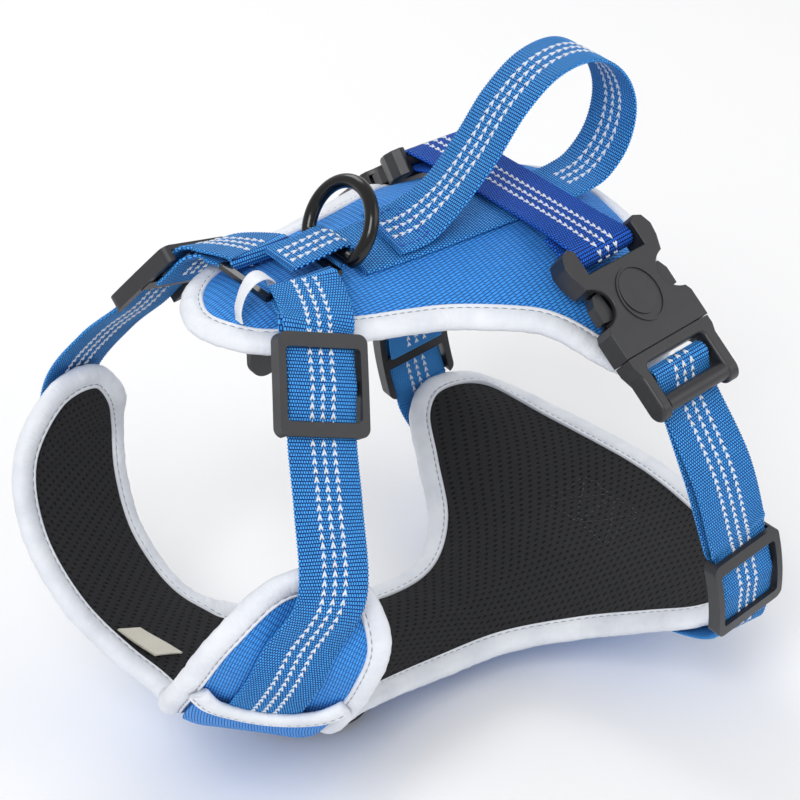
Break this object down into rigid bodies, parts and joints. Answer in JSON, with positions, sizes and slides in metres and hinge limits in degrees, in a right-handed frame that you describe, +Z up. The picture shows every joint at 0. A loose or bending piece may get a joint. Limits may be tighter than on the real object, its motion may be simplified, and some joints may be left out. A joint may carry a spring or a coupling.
{
  "type": "dog harness",
  "caption": "Padded dog harness with a back handle, a leash ring on the back and one on the chest, adjustable neck and girth straps and side-release buckles.",
  "frame": {"origin": "middle of the space that the dog's chest fills, on the harness's plane of symmetry", "axes": "+X towards the tail, +Y to the dog's right, +Z up towards the back"},
  "size_m": [0.2578, 0.2072, 0.2396],
  "materials": {
    "blue_cloth": "diagonal-ribbed padded cloth",
    "blue_webbing": "woven nylon with reflective stitches",
    "grey_binding": "folded reflective tape",
    "black_mesh": "air mesh",
    "foam": "open foam",
    "black_plastic": "matt moulded",
    "black_metal": "gloss paint",
    "label": "woven label",
    "black_webbing": "woven nylon"
  },
  "bodies": {
    "base": {"back_panel_cover": "blue_cloth", "back_panel_foam": "foam", "back_panel_lining": "black_mesh", "back_panel_binding": "grey_binding", "spine_webbing": "blue_webbing", "girth_webbing": "blue_webbing", "ring_tab": "blue_webbing", "keeper_strip": "grey_binding", "underside_tab": "black_webbing", "neck_anchor": "black_metal", "buckle_female_left": "black_plastic", "buckle_female_right": "black_plastic", "chest_panel_cover": "blue_cloth", "chest_panel_foam": "foam", "chest_panel_lining": "black_mesh", "chest_panel_binding": "grey_binding", "chest_patch": "blue_cloth", "chest_patch_binding_left": "grey_binding", "chest_patch_binding_right": "grey_binding", "size_label": "label", "chest_ring_tab": "black_webbing", "neck_strap_left": "blue_webbing", "neck_strap_right": "blue_webbing", "girth_strap_left": "blue_webbing", "girth_strap_right": "blue_webbing"},
    "back_ring": {"back_ring": "black_metal"},
    "chest_ring": {"chest_ring": "black_metal"},
    "handle": {"handle_loop": "blue_webbing"},
    "neck_slider_left": {"neck_slider_left": "black_plastic"},
    "girth_slider_left": {"girth_slider_left": "black_plastic"},
    "buckle_male_left": {"buckle_male_left": "black_plastic"},
    "buckle_prong_rear_left": {"buckle_prong_rear_left": "black_plastic"},
    "buckle_prong_front_left": {"buckle_prong_front_left": "black_plastic"},
    "neck_slider_right": {"neck_slider_right": "black_plastic"},
    "girth_slider_right": {"girth_slider_right": "black_plastic"},
    "buckle_male_right": {"buckle_male_right": "black_plastic"},
    "buckle_prong_rear_right": {"buckle_prong_rear_right": "black_plastic"},
    "buckle_prong_front_right": {"buckle_prong_front_right": "black_plastic"}
  },
  "joints": [
    {"name": "back_ring_swing", "type": "hinge", "parent": "base", "child": "back_ring", "pos_m": [-0.029, 0, 0.0724], "axis": [0, 1, 0], "range_deg": [-80, 42]},
    {"name": "chest_ring_swing", "type": "hinge", "parent": "base", "child": "chest_ring", "pos_m": [-0.042, 0, -0.1193], "axis": [0, 1, 0], "range_deg": [0, 150]},
    {"name": "handle_tilt", "type": "hinge", "parent": "base", "child": "handle", "pos_m": [0.04, 0, 0.0675], "axis": [1, 0, 0], "range_deg": [-60, 60], "deforming": ["handle_loop"]},
    {"name": "neck_slider_left_slide", "type": "slide", "parent": "base", "child": "neck_slider_left", "axis": [-0.361, -0.5515, -0.752], "range_m": [-0.02, 0.03], "deforming": ["neck_strap_left"]},
    {"name": "girth_slider_left_slide", "type": "slide", "parent": "base", "child": "girth_slider_left", "axis": [0.1709, 0.0201, -0.9851], "range_m": [-0.03, 0], "deforming": ["girth_strap_left"]},
    {"name": "buckle_left_release", "type": "slide", "parent": "base", "child": "buckle_male_left", "axis": [0.1141, -0.7498, -0.6517], "range_m": [0, 0.03], "deforming": ["girth_strap_left"]},
    {"name": "buckle_prong_rear_left_flex", "type": "hinge", "parent": "buckle_male_left", "child": "buckle_prong_rear_left", "pos_m": [0.06576, -0.07025, 0.04443], "axis": [0, -0.656, 0.7548], "range_deg": [0, 9]},
    {"name": "buckle_prong_front_left_flex", "type": "hinge", "parent": "buckle_male_left", "child": "buckle_prong_front_left", "pos_m": [0.04391, -0.07214, 0.04278], "axis": [0, 0.656, -0.7548], "range_deg": [0, 9]},
    {"name": "neck_slider_right_slide", "type": "slide", "parent": "base", "child": "neck_slider_right", "axis": [-0.361, 0.5515, -0.752], "range_m": [-0.02, 0.03], "deforming": ["neck_strap_right"]},
    {"name": "girth_slider_right_slide", "type": "slide", "parent": "base", "child": "girth_slider_right", "axis": [0.1709, -0.0201, -0.9851], "range_m": [-0.03, 0], "deforming": ["girth_strap_right"]},
    {"name": "buckle_right_release", "type": "slide", "parent": "base", "child": "buckle_male_right", "axis": [0.1141, 0.7498, -0.6517], "range_m": [0, 0.03], "deforming": ["girth_strap_right"]},
    {"name": "buckle_prong_rear_right_flex", "type": "hinge", "parent": "buckle_male_right", "child": "buckle_prong_rear_right", "pos_m": [0.06576, 0.07025, 0.04443], "axis": [0, -0.656, -0.7548], "range_deg": [0, 9]},
    {"name": "buckle_prong_front_right_flex", "type": "hinge", "parent": "buckle_male_right", "child": "buckle_prong_front_right", "pos_m": [0.04391, 0.07214, 0.04278], "axis": [0, 0.656, 0.7548], "range_deg": [0, 9]}
  ],
  "couplings": [
    {"joint": "buckle_prong_rear_left_flex", "follows": "buckle_left_release", "rad_per_m": 5.2},
    {"joint": "buckle_prong_front_left_flex", "follows": "buckle_left_release", "rad_per_m": 5.2},
    {"joint": "buckle_prong_rear_right_flex", "follows": "buckle_right_release", "rad_per_m": 5.2},
    {"joint": "buckle_prong_front_right_flex", "follows": "buckle_right_release", "rad_per_m": 5.2}
  ]
}
